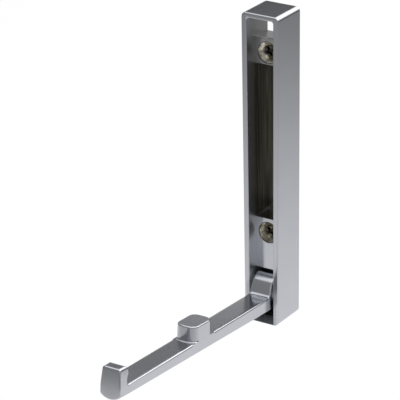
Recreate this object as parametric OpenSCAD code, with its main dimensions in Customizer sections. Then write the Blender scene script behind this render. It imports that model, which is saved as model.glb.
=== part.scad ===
// Folding wall coat hook: a narrow die-cast housing screwed to the wall, and an
// arm with a middle knob and an upturned tip that folds up into the housing.
// X is across, +Y goes into the wall, Z is up. The origin lies on the wall face,
// midway between the two screws. The arm is drawn open, resting on its stop.

/* [Housing] */
// Overall height of the housing
housing_height = 120; // [112:1:140]
// Depth of the housing from the wall to its front rim
housing_depth = 15.2; // [14:0.1:18]
// How much wider the housing is at its top than at its foot
top_flare = 1; // [0.2:0.1:2]
// Thickness of the two side walls at the rim
side_wall = 2.2; // [1.8:0.1:3]
// Thickness of the top wall
top_wall = 1.8; // [1.4:0.1:3]
// Thickness of the wall behind the deep cavity and the pivot chamber
back_wall = 1.5; // [1.2:0.1:2]
// Thickness of the floor under the pivot chamber
floor_wall = 2; // [1.6:0.1:3]
// Radius of the housing's four outer corners, seen from the front
corner_radius = 1.7; // [1:0.1:2.2]
// Radius of the two upper corners of the front opening
opening_radius = 0.9; // [0.4:0.1:1.2]
// Length of the sloping front edge of the floor
ramp_length = 3; // [2:0.1:4]
// Height by which the floor falls over that slope
ramp_drop = 1.5; // [0.8:0.1:1.5]

/* [Screw bosses] */
// Depth of the two screw bosses, from the wall to their front
boss_depth = 10; // [9:0.1:11]
// Height of the upper screw boss
upper_boss_height = 10; // [9.8:0.1:13]
// Distance between the two screws
screw_spacing = 70; // [64:0.5:76]
// Distance from the top of a boss down to its screw
screw_inset = 5.45; // [4.8:0.05:5.6]
// Gap between the bosses and the top face of the folded arm, which they stop
boss_gap = 0.25; // [0.15:0.05:0.5]
// Height by which the top of the upper boss falls towards the wall
boss_fall = 1; // [0.2:0.1:1.5]
// Depth of the relief behind the front half of the side walls, in the top window
window_relief = 0.45; // [0.2:0.05:0.8]
// Distance from the front of the bosses back to that relief
relief_setback = 0.7; // [0.3:0.1:2]

/* [Arm] */
// Width of the arm
arm_width = 8.8; // [8.2:0.1:10]
// Thickness of the arm at its pivot end
bar_root = 5.1; // [4.4:0.1:5.8]
// Thickness of the arm at its outer end
bar_tip = 3.2; // [2.8:0.1:4]
// Angle by which the open arm's underside rises towards its tip
arm_rise = 4.2; // [2:0.1:6]
// Height by which the arm's underside bulges below its two side edges
under_bulge = 1.7; // [0.8:0.1:1.9]

/* [Knob and tip] */
// Distance from the pivot to the middle of the knob, along the arm
knob_distance = 50.7; // [42:0.1:62]
// Length of the knob along the arm
knob_length = 9.9; // [8:0.1:12]
// Height by which the knob's two end faces bulge
knob_bulge = 1.2; // [0.6:0.1:1.8]
// Height of the knob above the arm
knob_height = 5.4; // [4:0.1:7]
// Radius of the hollow fillet round the knob's foot
knob_fillet = 0.9; // [0.4:0.1:1.5]
// Height of the tip above the lower side edges of the arm
tip_height = 9.8; // [8:0.1:12]
// Thickness of the tip at its foot
tip_foot = 4.5; // [4:0.1:6]
// Distance by which the tip's lip reaches inwards beyond its foot
lip_reach = 0.85; // [0.3:0.05:1.2]
// Height of the straight part of the lip, from the tip's top
lip_height = 2.8; // [2:0.1:3.5]
// Radius of the lip's inner top edge
lip_radius = 1.2; // [0.5:0.1:1.5]
// Depth of the hollow between the lip and the tip's foot
tip_hollow = 0.55; // [0.2:0.05:0.8]
// How far the tip's end face leans back at its top
tip_lean = 0.6; // [0.2:0.1:1.5]
// How much narrower the tip is at its top than at its foot, on each side
tip_taper = 0.6; // [0.2:0.1:1]
// How much narrower the arm is at its end face, on each side
end_taper = 0.2; // [0.1:0.1:0.5]
// Gap between the folded tip and the top wall
tip_gap = 2.4; // [1:0.1:3.5]
// Gap between the folded tip's lip and the upper screw boss
lip_gap = 0.6; // [0.4:0.05:1.5]

/* [Pivot] */
// Height of the pivot above the lower side edges of the arm
pivot_lift = 6.05; // [5.8:0.05:6.6]
// Radius of the arm's round knuckle
knuckle_radius = 5.75; // [5:0.05:6]
// Radius of the hollow fillet between knuckle and arm
knuckle_fillet = 1.2; // [0.6:0.1:2]
// Gap above the knuckle, below the lower boss
knuckle_gap = 2; // [1:0.1:3]
// Radius of the lower corner of the heel
heel_radius = 4.4; // [3.6:0.1:4.8]
// Gap between the heel and the housing's back wall, its stop
stop_gap = 0.2; // [0.1:0.05:0.4]
// Gap between the swinging heel and the floor
swing_gap = 0.9; // [0.4:0.1:2]
// Diameter of the pivot pin
pin_diameter = 4; // [3:0.1:5]
// Running clearance between the pin and the arm's bore, on the radius
pin_clearance = 0.05; // [0.02:0.01:0.09]
// Depth to which the pin seats in the right-hand side wall
pin_seat = 1.2; // [0.8:0.1:1.3]
// Depth of the pin's left-hand end below the housing's side
pin_recess = 0.3; // [0.1:0.1:0.6]

/* [Friction washers] */
// Thickness of each washer
washer_thickness = 0.5; // [0.3:0.05:1]
// Radius of each washer
washer_radius = 5.1; // [4:0.1:5.4]
// Clearance round the pin in each washer, on the radius
washer_clearance = 0.1; // [0.05:0.05:0.3]
// Side play between each washer and the knuckle
side_play = 0.05; // [0.03:0.01:0.1]
// Height of the round pad that each washer lies against
pad_height = 0.05; // [0.04:0.01:0.3]

/* [Screws] */
// Thread diameter of the wood screws
screw_diameter = 4; // [3.5:0.1:4.5]
// How much thinner the plain shank is than the thread, on the radius
shank_step = 0.3; // [0.2:0.05:0.5]
// Diameter of the countersunk heads
head_diameter = 8; // [7:0.1:8.6]
// Overall length of the screws
screw_length = 20; // [16:0.5:22]
// Height of the straight rim of the heads
head_rim = 0.3; // [0.1:0.1:0.6]
// Depth of the heads below the front of the bosses
head_sink = 0.2; // [0.1:0.05:0.5]
// Clearance round the heads in their countersinks, on the radius
head_clearance = 0.15; // [0.1:0.05:0.3]
// Clearance round the screws in the bosses, on the radius
screw_clearance = 0.2; // [0.1:0.05:0.5]
// Length of the screws' points
point_length = 4; // [3:0.1:6]
// Width across the wings of the cross recess
recess_width = 4.4; // [3.6:0.1:4.6]
// Thickness of the wings of the cross recess
recess_wing = 1; // [0.7:0.1:1.3]
// Depth of the cross recess
recess_depth = 1.7; // [1.2:0.1:1.8]

/* [Hidden] */

// Overrun of the cuts
over = 0.5;
// Depth by which a hollow fillet runs into the faces that it joins
fillet_sink = 0.02;
// Length that reaches past the whole arm or housing
far = 2 * housing_height;
// Facets of full circles
$fn = 96;

// Where the pivot lies
pivot_depth = boss_depth + boss_gap + bar_root - pivot_lift;
keel = -pivot_lift - under_bulge;
heel_reach = pivot_depth - back_wall - stop_gap;
heel_y = heel_reach - heel_radius;
heel_v = heel_radius + keel;
heel_u = (heel_v * sin(arm_rise) - heel_y) / cos(arm_rise);
heel_swing = norm([heel_u, heel_v]) + heel_radius;
pivot_height = floor_wall + swing_gap + heel_swing;

// Heights in the housing, counted from its foot
opening_top = housing_height - top_wall;
chamber_top = pivot_height + knuckle_radius + knuckle_gap;
arm_reach = opening_top - tip_gap - pivot_height;
upper_boss_top = opening_top - tip_gap - tip_foot - lip_reach - lip_gap;
upper_boss_foot = upper_boss_top - upper_boss_height;
upper_screw = upper_boss_top - screw_inset;
lower_screw = upper_screw - screw_spacing;
lower_boss_top = lower_screw + screw_inset;
origin_height = (lower_screw + upper_screw) / 2;

// Depths and widths of the housing
relief_depth = boss_depth - relief_setback;
pad_face = arm_width / 2 + side_play + washer_thickness;
foot_width = 2 * (pad_face + pad_height + side_wall);
flare_ratio = top_flare / housing_height;
pad_radius = washer_radius;

// Slope of the arm's top face against its underside
bar_fall = (bar_root - bar_tip) / arm_reach;
fall_angle = atan(bar_fall);
tip_u = arm_reach - tip_foot;
knob_arc = arc_radius(arm_width, knob_bulge);
under_arc = arc_radius(arm_width, under_bulge);

// Screw sizes that follow
screw_radius = screw_diameter / 2;
shank_radius = screw_radius - shank_step;
head_radius = head_diameter / 2;
head_cone = head_radius - shank_radius;
sink_radius = head_radius + head_clearance;
hole_radius = screw_radius + screw_clearance;

// Radius of an arc, from its chord and its rise
function arc_radius(chord, rise) = (pow(chord / 2, 2) + pow(rise, 2)) / (2 * rise);

// Width of the housing, and of its opening, at a height above its foot
function outer_width(height) = foot_width + flare_ratio * height;
function inner_width(height) = outer_width(height) - 2 * side_wall;

// Height of the arm's top face above its underside, at a distance from the pivot
function bar_top(distance) = bar_root - bar_fall * distance;

// Outline whose sides lean outwards, with round lower and upper corners
module leaning_outline(low, high, low_width, high_width, low_round, high_round) {
    lean = (high_width - low_width) / 2 / (high - low);
    slant = sqrt(1 + lean * lean);
    low_y = low + low_round;
    high_y = high - high_round;
    low_x = low_width / 2 + lean * (low_y - low) - low_round * slant;
    high_x = low_width / 2 + lean * (high_y - low) - high_round * slant;
    half = [
        [low_x, low],
        [low_x + low_round / slant, low_y - low_round * lean / slant],
        [high_x + high_round / slant, high_y - high_round * lean / slant],
        [high_x, high]
    ];
    other = [for (i = [3:-1:0]) [-half[i][0], half[i][1]]];
    polygon(concat(half, other));
    for (side = [-1, 1]) {
        if (low_round > 0) translate([side * low_x, low_y]) circle(r = low_round);
        if (high_round > 0) translate([side * high_x, high_y]) circle(r = high_round);
    }
}

// Carries an outline drawn in X and height to a slab between two depths
module slab(back, front) {
    translate([0, -back, 0])
        rotate([90, 0, 0])
            linear_extrude(front - back) children();
}

// Slot between the side walls, from one height to another
module slot_outline(low, high, low_round, high_round) {
    leaning_outline(low, high, inner_width(low), inner_width(high), low_round, high_round);
}

// Outline of the window's rear part, a little wider than the slot itself
module relief_outline(low, high) {
    leaning_outline(low, high, inner_width(low) + 2 * window_relief,
        inner_width(high) + 2 * window_relief, 0, opening_radius);
}

// Carries a profile drawn in depth and height right across the housing
module across() {
    translate([far / 2, 0, 0])
        rotate([90, 0, -90])
            linear_extrude(far) children();
}

// Side profile of all that is open between the side walls: the pivot chamber, the deep
// cavity for the knob, the window and, in front of them all, the channel for the arm
module slot_profile() {
    front = housing_depth + over;
    steep = ramp_drop / ramp_length;
    polygon([
        [front, floor_wall - ramp_drop - over * steep],
        [housing_depth - ramp_length, floor_wall],
        [back_wall, floor_wall],
        [back_wall, chamber_top],
        [boss_depth, chamber_top],
        [boss_depth, lower_boss_top],
        [back_wall, lower_boss_top],
        [back_wall, upper_boss_foot],
        [boss_depth, upper_boss_foot],
        [boss_depth, upper_boss_top],
        [relief_depth - over, upper_boss_top],
        [relief_depth - over, opening_top + over],
        [front, opening_top + over]
    ]);
}

// Side profile of the relief behind the window; its foot falls towards the wall
module relief_profile() {
    steep = boss_fall / relief_depth;
    polygon([
        [-over, upper_boss_top - boss_fall - over * steep],
        [relief_depth, upper_boss_top],
        [relief_depth, opening_top + over],
        [-over, opening_top + over]
    ]);
}

// Hole and countersink for one screw, with its mouth at the front of its boss
module screw_hole(height) {
    mouth = head_rim + head_sink;
    translate([0, -boss_depth, height])
        rotate([-90, 0, 0]) {
            translate([0, 0, -over]) cylinder(r = sink_radius, h = over + mouth);
            translate([0, 0, mouth])
                cylinder(r1 = sink_radius, r2 = hole_radius, h = sink_radius - hole_radius);
            cylinder(r = hole_radius, h = boss_depth + over);
        }
}

module housing_body() {
    difference() {
        slab(0, housing_depth)
            leaning_outline(0, housing_height, foot_width, foot_width + top_flare,
                corner_radius, corner_radius);
        // Everything open from the front
        intersection() {
            slab(0, housing_depth + over)
                slot_outline(0, opening_top, 0, opening_radius);
            across() slot_profile();
        }
        // Window's rear part, open at the back
        intersection() {
            slab(-over, housing_depth)
                relief_outline(upper_boss_foot, opening_top);
            across() relief_profile();
        }
        screw_hole(upper_screw);
        screw_hole(lower_screw);
    }
    // Round pads that the washers lie against
    for (side = [-1, 1])
        translate([side * pad_face, -pivot_depth, pivot_height])
            rotate([0, side * 90, 0])
                cylinder(r = pad_radius, h = side_wall / 2);
}

module housing() {
    left_end = outer_width(pivot_height) / 2;
    color("silver")
        translate([0, 0, -origin_height])
            difference() {
                housing_body();
                // Bore for the pin, open at the left-hand side and blind at the right
                translate([-left_end - over, -pivot_depth, pivot_height])
                    rotate([0, 90, 0])
                        cylinder(d = pin_diameter, h = left_end + over + pad_face + pin_seat);
            }
}

// Side outline of the arm: u runs outwards from the pivot, v upwards from it
module arm_outline() {
    under = -pivot_lift;
    root = under + bar_root;
    tip_top = under + tip_height;
    lean_share = tip_lean / tip_height;
    face_u = (heel_v * sin(arm_rise) - heel_reach) / cos(arm_rise);
    head_u = (root * sin(arm_rise) - heel_reach) / cos(arm_rise);
    circle(r = knuckle_radius);
    // Bar with its heel
    translate([heel_u, heel_v]) circle(r = heel_radius);
    polygon([
        [heel_u, keel],
        [arm_reach + under_bulge * lean_share, keel],
        [arm_reach - bar_tip * lean_share, under + bar_tip],
        [0, root],
        [head_u, root],
        [face_u, heel_v],
        [heel_u, heel_v]
    ]);
    // Tip with its lip and the hollow under it
    foot_v = under + bar_top(tip_u);
    lip_u = tip_u - lip_reach;
    lip_v = tip_top - lip_height;
    chord = norm([lip_reach, lip_v - foot_v]);
    hollow_arc = arc_radius(chord, tip_hollow);
    offset_share = (tip_hollow - hollow_arc) / chord;
    difference() {
        union() {
            polygon([
                [tip_u, foot_v - over],
                [arm_reach - bar_tip * lean_share, foot_v - over],
                [arm_reach - bar_tip * lean_share, under + bar_tip],
                [arm_reach - tip_lean, tip_top],
                [lip_u + lip_radius, tip_top],
                [lip_u + lip_radius, tip_top - lip_radius],
                [lip_u, tip_top - lip_radius],
                [lip_u, lip_v],
                [tip_u, foot_v]
            ]);
            translate([lip_u + lip_radius, tip_top - lip_radius]) circle(r = lip_radius);
        }
        translate([(lip_u + tip_u) / 2 + (lip_v - foot_v) * offset_share,
            (lip_v + foot_v) / 2 + lip_reach * offset_share])
            circle(r = hollow_arc, $fn = 2 * $fn);
    }
    // Fillet between the knuckle and the bar, sunk a little into both
    rise = knuckle_fillet - fillet_sink;
    near_u = sqrt(pow(knuckle_radius + rise, 2) - pow(root + rise, 2));
    fillet_v = under + bar_top(near_u) + rise / cos(fall_angle);
    fillet_u = sqrt(pow(knuckle_radius + rise, 2) - pow(fillet_v, 2));
    difference() {
        polygon([[0, 0], [fillet_u, fillet_v], [fillet_u, root - over], [0, root - over]]);
        translate([fillet_u, fillet_v]) circle(r = knuckle_fillet);
    }
}

// Cross-section of the arm: flat sides over a bulging underside
module arm_section() {
    translate([-arm_width / 2, -pivot_lift]) square([arm_width, far]);
    intersection() {
        translate([-arm_width / 2, keel - over]) square([arm_width, under_bulge + 2 * over]);
        translate([0, keel + under_arc]) circle(r = under_arc, $fn = 2 * $fn);
    }
}

// Plan of the arm's outer end: slivers that narrow it towards its end face
module end_cut() {
    half = arm_width / 2;
    steep = end_taper / tip_foot;
    for (side = [-1, 1])
        polygon([
            [tip_u, side * half],
            [arm_reach + over, side * (half - end_taper - over * steep)],
            [arm_reach + over, side * (half + over)],
            [tip_u, side * (half + over)]
        ]);
}

// Slivers that narrow the tip towards its top
module tip_cut() {
    half = arm_width / 2;
    low = bar_top(tip_u) - pivot_lift;
    high = tip_height - pivot_lift;
    steep = tip_taper / (high - low);
    for (side = [-1, 1])
        polygon([
            [side * half, low],
            [side * (half - tip_taper - over * steep), high + over],
            [side * (half + over), high + over],
            [side * (half + over), low]
        ]);
}

// Plan of the knob: flat sides flush with the arm, and two bulging ends
module knob_plan() {
    reach = knob_length / 2 - knob_arc;
    intersection() {
        square([2 * knob_length, arm_width], center = true);
        translate([reach, 0]) circle(r = knob_arc);
        translate([-reach, 0]) circle(r = knob_arc);
    }
}

// Hollow fillet at one end of the knob's foot
module knob_foot(side) {
    rise = knob_fillet - fillet_sink;
    reach = knob_length / 2 - knob_arc;
    corner = sqrt(pow(knob_arc, 2) - pow(arm_width / 2, 2));
    intersection() {
        translate([side * reach, 0, 0])
            rotate_extrude()
                translate([knob_arc - over, -over])
                    difference() {
                        square([over + rise, over + rise]);
                        translate([over + rise, over + rise]) circle(r = knob_fillet);
                    }
        translate([side * (reach + corner - over) - (side < 0 ? far : 0), -arm_width / 2, -far / 2])
            cube([far, arm_width, far]);
    }
}

// The knob stands square on the arm's top face; its own top is level when the arm is open
module knob() {
    translate([knob_distance, bar_top(knob_distance) - pivot_lift, 0])
        rotate([-90, 0, -fall_angle])
            difference() {
                union() {
                    translate([0, 0, -over])
                        linear_extrude(2 * knob_height + over) knob_plan();
                    for (side = [-1, 1]) knob_foot(side);
                }
                translate([0, 0, knob_height])
                    rotate([0, arm_rise - fall_angle, 0])
                        translate([-far / 2, -far / 2, 0]) cube([far, far, far]);
            }
}

module arm() {
    color("lightgray")
        translate([0, -pivot_depth, pivot_height - origin_height])
            rotate([-arm_rise, 0, 0])
                rotate([90, 0, -90])
                    difference() {
                        union() {
                            intersection() {
                                linear_extrude(arm_width, center = true) arm_outline();
                                translate([-far / 2, 0, 0])
                                    rotate([0, 90, 0])
                                        linear_extrude(2 * far) arm_section();
                            }
                            knob();
                        }
                        translate([tip_u - lip_reach - over, 0, 0])
                            rotate([0, 90, 0])
                                linear_extrude(far) tip_cut();
                        translate([0, far / 2, 0])
                            rotate([90, 0, 0])
                                linear_extrude(far) end_cut();
                        cylinder(r = pin_diameter / 2 + pin_clearance, h = arm_width + 2 * over,
                            center = true);
                    }
}

module pivot_pin() {
    left_end = outer_width(pivot_height) / 2 - pin_recess;
    chamfer = pin_recess;
    length = left_end + pad_face + pin_seat - side_play;
    color("dimgray")
        translate([-left_end, -pivot_depth, pivot_height - origin_height])
            rotate([0, 90, 0]) {
                cylinder(d1 = pin_diameter - 2 * chamfer, d2 = pin_diameter, h = chamfer);
                translate([0, 0, chamfer])
                    cylinder(d = pin_diameter, h = length - 2 * chamfer);
                translate([0, 0, length - chamfer])
                    cylinder(d1 = pin_diameter, d2 = pin_diameter - 2 * chamfer, h = chamfer);
            }
}

module washer(side) {
    color("gainsboro")
        translate([side * (pad_face - washer_thickness / 2), -pivot_depth,
            pivot_height - origin_height])
            rotate([0, 90, 0])
                difference() {
                    cylinder(r = washer_radius, h = washer_thickness, center = true);
                    cylinder(r = pin_diameter / 2 + washer_clearance,
                        h = washer_thickness + over, center = true);
                }
}

module washer_left() { washer(-1); }
module washer_right() { washer(1); }

// One wing pair of the cross recess, narrowing towards its bottom
module recess_wings() {
    half = recess_width / 2;
    rotate([90, 0, 0])
        linear_extrude(recess_wing, center = true)
            polygon([
                [-half, 0],
                [-half, -over],
                [half, -over],
                [half, 0],
                [recess_wing / 2, recess_depth],
                [-recess_wing / 2, recess_depth]
            ]);
}

// Wood screw: its plain shank crosses the housing, and its thread starts at the wall
module screw(height) {
    thread_start = boss_depth - head_sink;
    thread_end = screw_length - point_length;
    color("wheat")
        translate([0, head_sink - boss_depth, height - origin_height])
            rotate([-90, 0, 0])
                difference() {
                    // Half outline, turned: head, cone, plain shank, thread and point
                    rotate_extrude()
                        polygon([
                            [0, 0],
                            [head_radius, 0],
                            [head_radius, head_rim],
                            [shank_radius, head_rim + head_cone],
                            [shank_radius, thread_start],
                            [screw_radius, thread_start],
                            [screw_radius, thread_end],
                            [0, screw_length]
                        ]);
                    recess_wings();
                    rotate([0, 0, 90]) recess_wings();
                }
}

module screw_upper() { screw(upper_screw); }
module screw_lower() { screw(lower_screw); }

housing();
arm();
pivot_pin();
washer_left();
washer_right();
screw_upper();
screw_lower();
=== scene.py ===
# Fold-down wall coat hook, shown open: two zinc die-castings in satin chrome, with two steel
# screws, two washers and a pivot pin. It stands on the CAD frame: +Y goes into the wall, -Y
# towards the room, Z is up. Pieces are drawn in millimetres and scaled to metres at the end.
import math

import bmesh
import bpy
from mathutils import Matrix, Vector


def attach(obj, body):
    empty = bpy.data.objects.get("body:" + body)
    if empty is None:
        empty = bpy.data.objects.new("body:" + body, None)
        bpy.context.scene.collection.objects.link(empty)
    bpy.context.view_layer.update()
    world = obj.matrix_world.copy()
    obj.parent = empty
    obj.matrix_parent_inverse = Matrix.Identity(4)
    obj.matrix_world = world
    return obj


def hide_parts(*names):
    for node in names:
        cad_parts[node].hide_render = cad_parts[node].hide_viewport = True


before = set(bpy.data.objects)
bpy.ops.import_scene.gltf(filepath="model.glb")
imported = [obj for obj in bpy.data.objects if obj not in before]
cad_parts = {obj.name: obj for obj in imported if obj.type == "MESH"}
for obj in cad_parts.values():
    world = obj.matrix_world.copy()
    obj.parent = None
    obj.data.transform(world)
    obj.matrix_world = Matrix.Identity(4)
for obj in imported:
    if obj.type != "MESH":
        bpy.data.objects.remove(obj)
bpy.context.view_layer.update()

MM = 0.001
ACROSS, INTO_WALL = Vector((1, 0, 0)), Vector((0, 1, 0))

# ---------------------------------------------------------------- sizes, in millimetres
# Housing: heights count from its foot, depths from the wall
FOOT = 69.4                             # the foot lies this far below the origin
HOUSING_HEIGHT, HOUSING_DEPTH = 120.0, 15.2
FOOT_WIDTH = 14.4
FLARE_SHARE = 1.0 / 120.0               # width gained for each millimetre of height
SIDE_WALL, BACK_WALL = 2.2, 1.5
OUTER_CORNER = 1.7
OPENING_TOP = 118.2
OPENING_CORNERS = (0.3, 0.9)            # at the opening's foot and at its top
RAMP_FOOT, RAMP_TOP, RAMP_DEPTH = 0.15, 2.0, 12.2  # the channel's foot slopes out
RIM_EDGE, LIP_EDGE, BACK_EDGE = 0.5, 0.35, 0.3     # outside, at the opening, at the wall
FOOT_EDGE = 0.06                        # the rim and the opening are crisp at the foot

# Bosses: heights of the lower one's foot, split and top, then of the upper one's foot and top
BOSS_HEIGHTS = (19.8622, 28.9, 39.85, 99.85, 109.85)
LOWER_FOOT, LOWER_SPLIT, LOWER_TOP, UPPER_FOOT, UPPER_TOP = range(len(BOSS_HEIGHTS))
BOSS_DEPTH = 10.0
BOSS_ROUND, BOSS_CHAMFER = 0.45, 0.6
CHAMFER_DROP = 0.12                     # a chamfer reaches this much further down the face
SCREW_HEIGHTS = {"screw_lower": 34.4, "screw_upper": 104.4}
SINK_RADIUS, SINK_MOUTH, HOLE_RADIUS = 4.15, 0.5, 2.2
SINK_EDGE, SINK_EDGE_MIDDLE = 0.12, 0.035    # rounding of a countersink's mouth

# Window above the upper boss: wider behind a step, and its sill falls towards the back
STEP_DEPTH, STEP_WIDTH, SILL_FALL = 9.3, 0.45, 1.0

# Pivot, with the pin's bores in the housing and in the arm
PIVOT_DEPTH, PIVOT_HEIGHT, PIN_RADIUS = 9.3, 12.1122, 2.0
PIN_BORE_CHAMFER, PIN_BORE_DEPTH = 0.1, 1.2
ARM_BORE, ARM_BORE_CHAMFER = PIN_RADIUS + 0.05, 0.15

# Arm: "along" runs from the pivot to the tip, "up" is square to it, and heights are from the
# pivot. An edge is the rounding where a face of its side outline meets the arm's flat sides
ARM_RISE = math.radians(4.2)            # slope of the open arm
ARM_HALF, ARM_REACH = 4.4, 103.688
BAR_ROOT, BAR_FALL = -0.95, 1.9 / ARM_REACH
BAR_EDGE, RIDGE_EDGE, FLUSH_EDGE = 0.5, 0.65, 0.03
KEEL_START, BAR_TOP_END = 60, 95        # places along the underside and the bar's top
KNOB_CLEAR, KNOB_FADE = 0.6, 1.3        # between them the ridge's edge runs out
KEEL, UNDER_ARC, UNDER_EDGE = -7.75, 6.5432, 0.5   # underside: lowest line, arc, soft edge
BELLY_TOP = -2.9                        # below this the flat sides draw in to the underside
KNUCKLE, KNUCKLE_EDGE = 6.6, 0.8
KNUCKLE_END = 188                       # degrees round the pivot at which the knuckle ends
FILLET, FILLET_NEAR = 2.1, 6.0          # radius, and a first guess of its place along the arm
FILLET_START, FILLET_GAP = 269, 4       # degrees: on the bar, and left open at the knuckle
HEEL_REACH, HEEL_EDGE = 7.6, 0.3        # its flat back bears on the housing's back wall
HEEL_CENTRE, HEEL_RADIUS = (-3.4546, -3.35), 4.4

# Tip: it leans back and is slightly full, and its lip overhangs a hollow
TIP_TOP, TIP_FOOT = 3.75, 99.188
TIP_LEAN, LEAN_LEVEL = 0.6 / 9.8, -6.05
TIP_FULLNESS = 0.14
TIP_HEIGHTS = (-6.3, -4.5, BAR_ROOT - BAR_FALL * TIP_FOOT, -1.0, 0.8, 2.4)  # up its face
TIP_END, TIP_TOP_EDGE = 1.0, 1.0        # points within TIP_END of the reach are its face's
TIP_KEEL_CORNER, TIP_TOP_CORNER, TIP_FOOT_CORNER = 0.4, 0.7, 0.5
TIP_NARROWING, TIP_TOP_NARROWING = 0.2, 0.6    # of each side, at the end and at the top
LIP, LIP_FOOT, LIP_CORNER = 98.338, 0.95, 1.2
LIP_HOLLOW, HOLLOW_SHARES = 0.55, (0.2, 0.4, 0.6, 0.8)

# Knob: its plan is a rounded rectangle whose ends bow out a little
KNOB_BACK, KNOB_FRONT, KNOB_HALF, KNOB_TOP = 45.9, 57.9, 4.28, 3.85
KNOB_BACK_CORNER, KNOB_FRONT_CORNER, KNOB_BOW = 2.8, 3.2, 0.1
KNOB_FLARE, KNOB_DRAFT, KNOB_BROW = 0.5, 0.12, 0.55
KNOB_ROOT, KNOB_SKIRT = -1.5, -0.05     # its skin starts inside the bar

# Screws: everything counts from the top of the head, which lies HEAD_DEPTH from the wall.
# The bowl is (radius, depth), the recess is (reach, half width, depth) of its wings
HEAD_DEPTH, SCREW_LENGTH, POINT_LENGTH = 9.8, 20.0, 4.0
HEAD_RADIUS, HEAD_RIM, SHANK_RADIUS = 4.0, 0.3, 1.7
BOWL = ((1.95, 1.5), (2.3, 1.12), (2.65, 0.78), (3.0, 0.48), (3.35, 0.24), (3.65, 0.08),
        (3.85, 0), (3.96, 0.03), (HEAD_RADIUS, 0.12))
RECESS = ((1.8, 0.6, 1.5), (1.72, 0.54, 1.58), (1.4, 0.45, 2.2), (1.0, 0.38, 2.7),
          (0.4, 0.2, 2.9))
WING_CORNER, NECK_CORNER = 0.4, 0.35    # roundings, as shares of a wing's half width
RECESS_TURNS = {"screw_upper": 28, "screw_lower": 40}    # degrees
THREAD_RADIUS, THREAD_CORE, THREAD_PITCH = 2.0, 1.4, 1.8
THREAD_START, THREAD_END = HEAD_DEPTH + 0.5, SCREW_LENGTH - 1.2
CORE_CONE = 0.3                         # from the shank down to the thread's core
BLUNT_POINT = ((0.1, SCREW_LENGTH - 0.25), (0, SCREW_LENGTH - 0.15))
# Section of the thread's ridge: (radius, distance along the screw)
THREAD_RIDGE = ((THREAD_CORE - 0.2, 0), (THREAD_RADIUS - 0.02, 0.42),
                (THREAD_RADIUS - 0.02, 0.52), (THREAD_CORE - 0.2, 0.8))

# How finely roundings are cut: a share runs from 0, on the side wall, to 1, on the flat face
CORNER_STEPS, KNOB_CORNER_STEPS, RECESS_CORNER_STEPS = 6, 10, 3
FILLET_STEPS, KNUCKLE_STEPS, HEEL_STEPS, KNOB_STEPS = 6, 30, 10, 5
BOSS_ROUND_STEPS, CHAMFER_STEPS = 3, 1
FACE_TO_WALL, WALL_TO_FACE = (1, 0.67, 0.33, 0), (0, 0.25, 0.5, 0.75, 1)
ACROSS_SHARES = (0.85, 0.66, 0.44, 0.22)    # slices between a side's rounding and the middle
TURN_STEPS, PIN_BORE_STEPS, THREAD_STEPS = 40, 32, 24
SHARP = math.radians(32)                # edges that turn more than this stay sharp
TOUCH, NEAR = 0.001, 0.02               # for finding vertices by their place
PARALLEL = 0.99                         # for finding a face by its direction


# ---------------------------------------------------------------- node helpers
def linear(hex_colour):
    """A colour as it is written in sRGB, turned to the linear values of a shader."""
    parts = [int(hex_colour[i:i + 2], 16) / 255 for i in (1, 3, 5)]
    return [c / 12.92 if c <= 0.04045 else ((c + 0.055) / 1.055) ** 2.4 for c in parts] + [1]


def add(tree, kind, settings=None, inputs=None, links=None):
    """Adds one node to a tree, with its settings, its input values and its links."""
    made = tree.nodes.new(kind)
    for name, value in (settings or {}).items():
        setattr(made, name, value)
    for name, value in (inputs or {}).items():
        made.inputs[name].default_value = value
    for name, source in (links or {}).items():
        tree.links.new(source, made.inputs[name])
    return made


def new_material(name):
    """A material and its empty node tree."""
    material = bpy.data.materials.new(name)
    material.use_nodes = True
    material.node_tree.nodes.clear()
    return material, material.node_tree


def zone(tree, share, *limits, blend="SMOOTHSTEP"):
    """How much of a finish shows at a point: share, or 1 where it is None, times a slope for
    each limit. A limit is (value, (none, full)): 0 where the value is none, 1 where it is full."""
    for value, (none, full) in limits:
        slope = add(tree, "ShaderNodeMapRange", {"interpolation_type": blend},
                    {"From Min": none, "From Max": full}, {"Value": value}).outputs["Result"]
        share = slope if share is None else add(
            tree, "ShaderNodeMath", {"operation": "MULTIPLY"},
            links={0: share, 1: slope}).outputs[0]
    return share


def grained(tree, place, size, detail, low, high):
    """A fine grain of a size in millimetres, and a roughness that it moves from low to high."""
    grain = add(tree, "ShaderNodeTexNoise", None, {"Scale": 1 / (size * MM), "Detail": detail},
                {"Vector": place}).outputs["Fac"]
    rough = add(tree, "ShaderNodeMapRange", None,
                {"From Min": GRAIN_LOW, "From Max": GRAIN_HIGH, "To Min": low, "To Max": high},
                {"Value": grain}).outputs["Result"]
    return grain, rough


# ---------------------------------------------------------------- metal finishes
# Zones of the housing's recesses on the CAD frame, in metres, for their painted shade, painted
# light and dullness: (none, full)
RECESS_SIDE = (6.5 * MM, 6.2 * MM)
RECESS_BACK = (-0.3 * MM, -0.6 * MM)
RECESS_TOP = (49.6 * MM, 49.2 * MM)
SHADE_DEPTH = (-14.8 * MM, -10.5 * MM)
SHADE_HEIGHT = (-36 * MM, -22 * MM)
FOOT_HEIGHT = (-52 * MM, -56 * MM)
LIT_LOW_WALL_HEIGHT = (-24 * MM, -40 * MM)
CAVITY_DEPTH = (-11 * MM, -9.6 * MM)
CAVITY_FOOT = (-29.6 * MM, -28.6 * MM)
CAVITY_TOP = (29.8 * MM, 29.3 * MM)
# Depths of the painted shade in a screw's cross recess
RECESS_SHADE_START = (-8.8 * MM, -8.1 * MM)
RECESS_SHADE_END = (-6.5 * MM, -6.6 * MM)
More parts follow.
